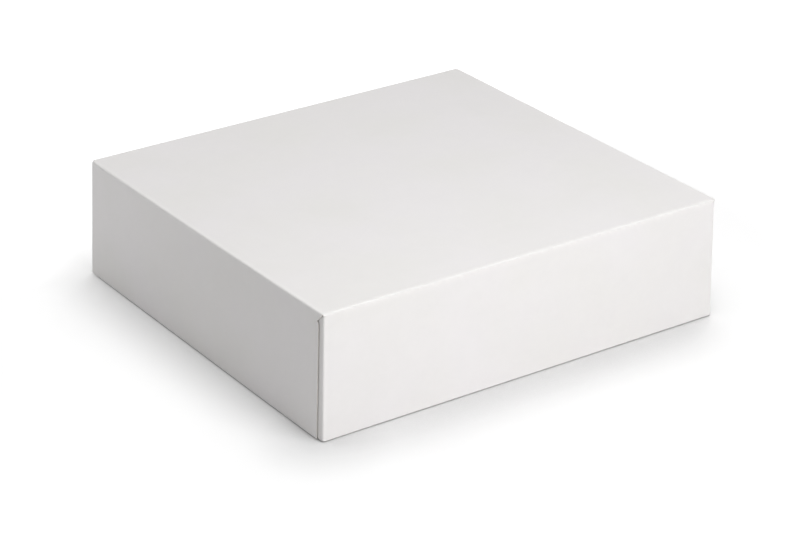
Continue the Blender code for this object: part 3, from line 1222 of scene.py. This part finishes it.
    def glue_tab(self, side: Side, end: str) -> bpy.types.Object:
        """Builds a corner tab, glued inside the front or back wall.

        Args:
            side: the side wall that the tab hangs on.
            end: front or back.

        Returns:
            The piece.
        """
        shop, board = self.shop, self.shop.board
        place, half = self.tab_fold(side, end)
        sheet = Sheet(f"{end}_{side.word}_tab_sheet", board, place)
        sheet.folded_panel(-half, half, self.tab_length, pi / 2)
        near = half - self.tab_relief
        start, outside = board.past_fold, self.tab_length
        far = near - (outside - start) * tan(self.tab_taper)
        past = board.beyond_fold
        for flip in (1, -1):
            points = [(flip * half, board.root(pi / 2)), (flip * near, start),
                      (flip * far, outside)]
            sheet.trim_along(points, flip < 0, past)
        corners = [(near, start), (far, outside), (-far, outside), (-near, start)]
        for first in (0, 1):
            sheet.round_off(*corners[first:first + 3], self.tab_corner, where=past)
        sheet.settle("xz", shop.form)
        return sheet.finish(shop.finishes, Slot.UNCOATED, (f"{end}_{side.word}_glue_tab",))


@dataclass
class Lid:
    """The lid's top with its hinge, and the frame that its skirts hang on."""

    shop: Workshop
    hinge: FoldJoint = field(default_factory=lambda: FoldJoint.named("lid_hinge"))

    def place(self) -> Matrix:
        """The lid's place: u runs to the left and v to the front."""
        turn = Matrix((-AXES["x"], -AXES["y"], AXES["z"])).transposed().to_4x4()
        return Matrix.Translation(self.hinge.at) @ turn

    def depth(self) -> float:
        """Distance from the hinge's axis to the front fold's."""
        return self.shop.sizes.fold_back - self.shop.sizes.fold_front

    def skirt_place(self, edge: str) -> Matrix:
        """Places a skirt on its fold.

        Args:
            edge: left, right or front. A side skirt is centred on the box.

        Returns:
            The skirt's place.
        """
        sizes = self.shop.sizes
        half, middle, depth = sizes.fold_half_width, sizes.fold_back, self.depth()
        ends, angle = {
            "front": (((half, depth), (-half, depth)), sizes.front_fold),
            "left": (((half, middle - 1), (half, middle + 1)), sizes.side_fold),
            "right": (((-half, middle + 1), (-half, middle - 1)), sizes.side_fold),
        }[edge]
        return fold_place(self.place(), *ends, angle)

    def build(self) -> bpy.types.Object:
        """Builds the lid's top.

        Returns:
            The piece.
        """
        shop, board, sizes = self.shop, self.shop.board, self.shop.sizes
        half = sizes.fold_half_width - board.reach(sizes.side_fold)
        reach = self.depth() - board.reach(sizes.front_fold)
        sheet = Sheet("lid_top_sheet", board, self.place())
        sheet.folded_panel(-half, half, reach, pi / 2)
        sheet.crease(*(self.skirt_place(edge) for edge in ("front", "left", "right")))
        sheet.settle("xy", shop.form)
        piece = sheet.finish(shop.finishes, Slot.COATED, ("lid_panel",))
        shop.bend(piece, self.hinge, self.place(), pi / 2)
        return piece


@dataclass
class FrontSkirt:
    """The lid's front skirt with its two corner ears.

    Its crease ends crease_gap short of the lid's corners, in a mitre that takes
    mitre_share of the fold's radius. The upright wear is how worn the upright
    folds to the ears are, beside a full crease, and so also how strongly their
    painted highlight shows.
    """

    shop: Workshop
    lid: Lid
    ear_top_taper: float = radians(9)
    ear_bottom_taper: float = radians(13)
    ear_relief: float = 0.2 * MM
    ear_straight: float = 6 * MM
    ear_foot: float = 0.15 * MM
    ear_corner: float = 6 * MM
    ear_top: float = 1.0 * MM
    crease_gap: float = 0.5 * MM
    mitre_share: float = 0.7
    upright_wear: float = 0.4
    joint: FoldJoint = field(default_factory=lambda: FoldJoint.named("front_skirt_fold"))

    def place(self) -> Matrix:
        """The skirt's place on the lid's front fold."""
        return self.lid.skirt_place("front")

    def foot(self) -> float:
        """How far the skirt reaches from its fold's axis."""
        return self.shop.skirt_length(self.shop.sizes.front_fold)

    def half_width(self) -> float:
        """Half the lid's width over its outer faces."""
        return self.shop.sizes.fold_half_width + self.shop.board.axis_depth

    def ear_axis(self, drop: float) -> float:
        """Tells where an ear's fold axis lies.

        Args:
            drop: how far below the lid's fold to look.

        Returns:
            Its distance from the skirt's middle.
        """
        board = self.shop.board
        lean = pi / 2 - self.shop.sizes.side_fold
        face = self.half_width() - board.thickness - board.gap
        return face + drop * tan(lean) - board.axis_depth / cos(lean)

    def build(self) -> list:
        """Builds the skirt and its ears.

        Returns:
            The pieces.
        """
        skirt = self.skirt()
        ears = [self.ear(side) for side in Side]
        for ear in ears:
            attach(ear, self.joint.child)
        return [skirt, *ears]

    def skirt(self) -> bpy.types.Object:
        """Builds the skirt with the lid's front crease.

        Returns:
            The piece.
        """
        shop, board = self.shop, self.shop.board
        fold = shop.sizes.front_fold
        half = self.half_width() + board.spare
        sheet = Sheet("front_skirt_sheet", board, self.place())
        sheet.folded_panel(-half, half, self.foot(), fold)
        sheet.cut((0, self.ear_top), (0, 1), False)
        for side in Side:
            self.trim_end(sheet, side)
            # the fold to each ear wears, and takes its painted highlight, at the upright share of a
            # full crease
            sheet.crease(self.ear_place(side), strength=self.upright_wear)
        sheet.settle("xz", shop.form)
        piece = sheet.finish(shop.finishes, Slot.COATED, ("lid_front_skirt",))
        shop.bend(piece, self.joint, self.place(), fold)
        return piece

    def trim_end(self, sheet: Sheet, side: Side) -> None:
        """Trims one end of the skirt, with a mitre at the lid and a seam at the ear.

        Args:
            sheet: the skirt's sheet.
            side: the end to trim.
        """
        board, sizes = self.shop.board, self.shop.sizes
        root, seam = board.root(sizes.front_fold), board.reach(pi / 2)
        half, top, foot = self.half_width(), self.ear_top, self.foot()
        # the skirt's u runs to the left of the box
        flip = -side
        corner = (flip * (half - self.crease_gap), root)
        upper = (flip * (self.ear_axis(top) - seam), top)
        lower = (flip * (self.ear_axis(foot) - seam), foot)
        for first, last in ((corner, upper), (upper, lower)):
            sheet.trim_along([first, last], flip < 0,
                             lambda middle: first[1] < middle.y < last[1])
        waste = Vector((side, 1, 0))
        lid_corner = Vector((side * half, sizes.fold_front - board.axis_depth, sizes.fold_height))
        crease_end = lid_corner - AXES["x"] * side * self.crease_gap
        start = root - self.mitre_share * board.fold_radius
        sheet.mitre(lid_corner, waste, where=lambda middle: middle.y < root)
        sheet.mitre(crease_end, waste, where=lambda middle: start < middle.y < root)

    def ear_ends(self, side: Side) -> list:
        """Where an ear's fold starts and ends on the skirt, anticlockwise."""
        low, high = self.ear_top, self.foot() - self.ear_foot
        ends = [(-side * self.ear_axis(low), low), (-side * self.ear_axis(high), high)]
        return ends if side is Side.LEFT else ends[::-1]

    def ear_place(self, side: Side) -> Matrix:
        """An ear's place on the skirt."""
        return fold_place(self.place(), *self.ear_ends(side), pi / 2)

    def ear_outline(self, half: float, bottom: int) -> list:
        """Draws an ear's outline, from the upper end of its fold round to the lower.

        Args:
            half: half the length of the ear's fold.
            bottom: the sign of u at the ear's lower edge.

        Returns:
            The outline's points, as (u, v).
        """
        board, length = self.shop.board, self.shop.sizes.ear_length
        start, straight = board.past_fold, self.ear_straight
        low_near = half - self.ear_relief
        low_far = low_near - (length - straight) * tan(self.ear_bottom_taper)
        top_far = half - (length - start) * tan(self.ear_top_taper)
        return [(-bottom * half, start), (-bottom * top_far, length),
                (bottom * low_far, length), (bottom * low_near, straight),
                (bottom * half, board.root(pi / 2))]

    def ear(self, side: Side) -> bpy.types.Object:
        """Builds one ear with the box's upright front crease.

        Args:
            side: the side that the ear is tucked in at.

        Returns:
            The piece.
        """
        shop, board = self.shop, self.shop.board
        place = self.ear_place(side)
        first, last = (Vector(end) for end in self.ear_ends(side))
        half = (last - first).length / 2
        sheet = Sheet(f"{side.word}_ear_sheet", board, place)
        # the ear's fold wears, and takes its painted highlight, at the upright share of a full
        # crease
        sheet.creases = [(place, self.upright_wear)]
        sheet.folded_panel(-half, half, shop.sizes.ear_length, pi / 2)
        outline = self.ear_outline(half, int(side))
        backwards = side is Side.RIGHT
        for points in (outline[:2], outline[2:]):
            sheet.trim_along(points, backwards, board.beyond_fold)
        for index in (1, 2):
            around = outline[index - 1:index + 2]
            if backwards:
                around.reverse()
            sheet.round_off(*around, self.ear_corner, where=board.beyond_fold)
        sheet.settle("yz", shop.form)
        return sheet.finish(shop.finishes, Slot.COATED, (f"{side.word}_corner_ear",))


@dataclass
class SideSkirt:
    """A side skirt, with the notch and the cut edge behind the front corner.

    The notch starts at the lid's front corner, notch_over above the bend. It
    goes down to notch_drop below the lid and notch_back behind the corner. The
    tip below it lies at tip_drop and tip_back, and from there the cut edge runs
    down to foot_back. The skirt's back edge slants out by back_slant more than
    the front skirt leans.
    """

    shop: Workshop
    lid: Lid
    side: Side
    notch_over: float = 0.2 * MM
    notch_back: float = 5.0 * MM
    notch_drop: float = 5.3 * MM
    tip_back: float = 3.85 * MM
    tip_drop: float = 7.3 * MM
    foot_back: float = 3.8 * MM
    back_slant: float = 1.6 * MM
    joint: FoldJoint = field(init=False)

    def __post_init__(self) -> None:
        """Finds the skirt's joint."""
        self.joint = FoldJoint.named(f"{self.side.word}_skirt_fold")

    def place(self) -> Matrix:
        """The skirt's place on the lid's side fold."""
        return self.lid.skirt_place(self.side.word)

    def split(self) -> float:
        """Distance from the fold's axis to the notch's inner corner."""
        return self.notch_drop - self.shop.board.axis_depth

    def trims(self, front: float, back: float, foot: float) -> tuple:
        """Lists the lines that the left skirt is trimmed along.

        Args:
            front: distance from the box's middle to the lid's front face.
            back: distance from the box's middle to the seam at the hinge.
            foot: how far the skirt reaches from its fold's axis.

        Returns:
            Each line's first and last point, and which faces it reaches.
        """
        board, sizes, split = self.shop.board, self.shop.sizes, self.split()
        root = board.root(sizes.side_fold)
        flare = foot * sin(pi / 2 - sizes.front_fold)
        over = (-front, -root - self.notch_over)
        notch = (-front + self.notch_back, split)
        tip = (-front + self.tip_back, self.tip_drop - board.axis_depth)
        foot_end = (-front + self.foot_back, foot)
        return (
            (notch, over, lambda middle: middle.y < split),
            (tip, notch, lambda middle: middle.y > split),
            (foot_end, tip, lambda middle: middle.y > split),
            ((back, root), (back + flare + self.back_slant, foot), None),
        )

    def build(self) -> bpy.types.Object:
        """Builds the skirt with the lid's side crease.

        Returns:
            The piece.
        """
        shop, board, sizes = self.shop, self.shop.board, self.shop.sizes
        foot = shop.skirt_length(sizes.side_fold)
        front = -sizes.fold_front + board.axis_depth
        back = sizes.fold_back - board.reach(pi / 2)
        # u runs to the back on the left side, and to the front on the right side
        flip = -self.side
        low, high = sorted((-flip * (front + board.spare), flip * (back + board.spare)))
        sheet = Sheet(f"{self.side.word}_skirt_sheet", board, self.place())
        sheet.folded_panel(low, high, foot, sizes.side_fold)
        sheet.cut((0, self.split()), (0, 1), False)
        for first, last, where in self.trims(front, back, foot):
            points = [(flip * first[0], first[1]), (flip * last[0], last[1])]
            sheet.trim_along(points, flip < 0, where)
        half = sizes.fold_half_width + board.axis_depth
        lid_corner = Vector((self.side * half, -front, sizes.fold_height))
        sheet.mitre(lid_corner, Vector((-self.side, -1, 0)))
        sheet.settle("yz", shop.form)
        piece = sheet.finish(shop.finishes, Slot.COATED, (f"lid_{self.side.word}_skirt",))
        shop.bend(piece, self.joint, self.place(), sizes.side_fold)
        return piece


@dataclass(frozen=True)
class SoftLamp:
    """A square soft lamp: where it hangs, how wide it is, and its power in watts."""

    name: str
    at: Vector
    size: float
    power: float

    def build(self, target: Vector) -> None:
        """Hangs the lamp.

        Args:
            target: the point that it looks at.
        """
        light = bpy.data.lights.new(self.name, "AREA")
        light.shape = "SQUARE"
        light.size = self.size
        light.energy = self.power
        lamp = bpy.data.objects.new(self.name, light)
        lamp.location = self.at
        lamp.rotation_euler = (target - self.at).to_track_quat("-Z", "Y").to_euler()
        bpy.context.scene.collection.objects.link(lamp)


@dataclass
class Studio:
    """A white table with soft light, and the camera of the photograph.

    The camera looks at target from azimuth and elevation, shifted by the aims.
    ambient is the strength of the even light from all round.

    For rays that show it, the ground glows towards white, with a strength from
    front_glow to back_glow over glow_span of y, turned a little by glow_turn.
    The glow fades where the box hides the sky within glow_reach: front_shade
    and left_shade say how much cover quenches it in front and at the left,
    right_relief adds to that over relief_span of x, and shade_power gives the
    fade its form. corner_shade darkens the ground within corner_reach of the
    nearest corner. behind_glow and far_glow brighten it behind the box and far
    away, over their spans.
    """

    azimuth: float = radians(-34.367)
    elevation: float = radians(25.198)
    distance: float = 1.4671
    lens: float = 111.87
    sensor_width: float = 36.0
    clip: tuple = (0.05, 50.0)
    target: Vector = field(default_factory=lambda: Vector((0, 0, 0.0374)))
    aim_across: float = -1.436 * MM
    aim_up: float = 17.545 * MM
    ambient: float = 0.15
    table_half_width: float = 4.0
    table_cells: int = 8
    table_colour: tuple = (0.79, 0.79, 0.79, 1)
    sky_samples: int = 12
    front_glow: float = 0.345
    back_glow: float = 0.467
    glow_span: tuple = (-0.228, 0.363)
    glow_turn: float = 0.3
    glow_reach: float = 0.075
    front_shade: float = 0.466
    left_shade: float = 0.67
    side_span: tuple = (-0.094, 0.094)
    right_relief: float = 0.12
    relief_span: tuple = (0.10, 0.17)
    shade_power: float = 1.7
    corner: Vector = field(default_factory=lambda: Vector((-0.137, -0.129, 0)))
    corner_shade: float = 0.148
    corner_reach: float = 0.04
    behind_glow: float = 0.3
    behind_span: tuple = (0.13, 0.19)
    far_glow: float = 0.8
    far_span: tuple = (0.24, 0.91)
    lamps: tuple = (
        SoftLamp("overhead_lamp", at=Vector((0.45, 0.87, 1.8)), size=1.8, power=15.85),
        SoftLamp("front_lamp", at=Vector((0.21, -1.56, 0.24)), size=0.5, power=7.8),
        SoftLamp("lid_lamp", at=Vector((0.0, -0.42, 0.64)), size=0.35, power=2.06),
        SoftLamp("left_lamp", at=Vector((-0.72, 0.66, 0.42)), size=0.6, power=1.7),
        SoftLamp("corner_lamp", at=Vector((-0.95, -0.75, 0.35)), size=0.5, power=0.75),
    )

    def build(self) -> None:
        """Builds the table, the light and the camera."""
        self.table()
        self.world()
        for lamp in self.lamps:
            lamp.build(self.target)
        self.camera()

    @staticmethod
    def seen(nodes: Nodes) -> bpy.types.NodeSocket:
        """Tells the rays that show the white ground from those that light the box.

        Args:
            nodes: the nodes of the material or world that asks.

        Returns:
            1 for a ray that shows the ground, and 0 for one that lights.
        """
        path = nodes.add("LightPath").outputs
        seen = nodes.math("MAXIMUM", path["Is Camera Ray"], path["Is Glossy Ray"])
        return nodes.math("MAXIMUM", seen, path["Is Transmission Ray"])

    def table(self) -> None:
        """Builds the white table."""
        mesh = bmesh.new()
        bmesh.ops.create_grid(mesh, x_segments=self.table_cells, y_segments=self.table_cells,
                              size=self.table_half_width)
        data = bpy.data.meshes.new("table_top")
        mesh.to_mesh(data)
        mesh.free()
        data.materials.append(self.table_white())
        top = bpy.data.objects.new("table_top", data)
        bpy.context.scene.collection.objects.link(top)

    def table_white(self) -> bpy.types.Material:
        """Builds the matt white of the table, with its glow.

        Returns:
            The material.
        """
        material = bpy.data.materials.new("table_white")
        material.use_nodes = True
        nodes = Nodes(material.node_tree)
        matt = nodes.add("BsdfDiffuse", Color=self.table_colour)
        strength = nodes.math("MULTIPLY", self.seen(nodes), self.glow(nodes))
        light = nodes.add("Emission", Strength=strength)
        both = nodes.add("AddShader", i0=matt.outputs[0], i1=light.outputs[0])
        output = nodes.add("OutputMaterial")
        nodes.feed(output.inputs["Surface"], both.outputs[0])
        return material

    def glow(self, nodes: Nodes) -> bpy.types.NodeSocket:
        """Makes the pattern of the ground's glow.

        Args:
            nodes: the nodes of the table's material.

        Returns:
            The strength of the glow.
        """
        spot = nodes.add("TexCoord").outputs["Object"]
        place = nodes.add("SeparateXYZ", Vector=spot).outputs
        sky = nodes.add("AmbientOcclusion", {"samples": self.sky_samples},
                        Distance=self.glow_reach).outputs["AO"]
        side = nodes.math("SUBTRACT", place["Y"], place["X"])
        shade = nodes.remap(side, self.side_span, (self.front_shade, self.left_shade))
        relief = nodes.remap(place["X"], self.relief_span, (0.0, self.right_relief))
        cover = nodes.math("DIVIDE", nodes.math("SUBTRACT", 1.0, sky),
                           nodes.math("ADD", shade, relief))
        faded = nodes.math("POWER", cover, self.shade_power)
        lit = nodes.math("SUBTRACT", 1.0, faded, clamp=True)
        along = nodes.math("MULTIPLY_ADD", place["X"], self.glow_turn, place["Y"])
        most = nodes.remap(along, self.glow_span, (self.front_glow, self.back_glow))
        near = nodes.add("VectorMath", {"operation": "DISTANCE"}, i0=spot, i1=self.corner)
        away = nodes.add("VectorMath", {"operation": "LENGTH"}, i0=spot)
        far = nodes.remap(away.outputs["Value"], self.far_span, (0.0, self.far_glow))
        behind = nodes.remap(place["Y"], self.behind_span, (0.0, self.behind_glow))
        corner = nodes.remap(near.outputs["Value"], (0.0, self.corner_reach),
                             (self.corner_shade, 0.0))
        extra = nodes.math("SUBTRACT", nodes.math("ADD", far, behind), corner)
        return nodes.math("MAXIMUM", nodes.math("MULTIPLY_ADD", lit, most, extra), 0.0)

    def world(self) -> None:
        """Lights the box evenly from all round, on a ground that looks white."""
        world = bpy.data.worlds.new("studio")
        bpy.context.scene.world = world
        world.use_nodes = True
        nodes = Nodes(world.node_tree)
        strength = nodes.math("MULTIPLY_ADD", self.seen(nodes), 1.0 - self.ambient, self.ambient)
        sky = nodes.add("Background", Color=(1, 1, 1, 1), Strength=strength)
        output = nodes.add("OutputWorld")
        nodes.feed(output.inputs["Surface"], sky.outputs[0])

    def camera(self) -> None:
        """Sets the camera at the photograph's view."""
        data = bpy.data.cameras.new("camera")
        data.lens = self.lens
        data.sensor_width = self.sensor_width
        data.clip_start, data.clip_end = self.clip
        back = Vector((sin(self.azimuth) * cos(self.elevation),
                       -cos(self.azimuth) * cos(self.elevation), sin(self.elevation)))
        across = Vector((cos(self.azimuth), sin(self.azimuth), 0))
        up = back.cross(across)
        camera = bpy.data.objects.new("camera", data)
        camera.location = (self.target + back * self.distance
                           - across * self.aim_across - up * self.aim_up)
        camera.rotation_mode = "QUATERNION"
        camera.rotation_quaternion = (-back).to_track_quat("-Z", "Y")
        bpy.context.scene.collection.objects.link(camera)
        bpy.context.scene.camera = camera


def main() -> None:
    """Builds the studio and every piece of the box in order."""
    logging.basicConfig(level=logging.INFO, format="%(name)s: %(message)s")
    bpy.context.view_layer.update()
    scene = bpy.context.scene
    scene.view_settings.view_transform = "Standard"
    Studio().build()
    sizes = BoxSizes.from_frame()
    effects = Effects.made()
    coated, uncoated, cut = (finish.build(effects) for finish in (COATED, UNCOATED, CUT))
    shop = Workshop(Board(), sizes, HandFolding(sizes), coated, uncoated, cut)
    pieces = Tray(shop).build()
    lid = Lid(shop)
    pieces += [lid.build(), *FrontSkirt(shop, lid).build()]
    pieces += [SideSkirt(shop, lid, side).build() for side in Side]
    log.info("%d pieces", len(pieces))


if __name__ == "__main__":
    main()
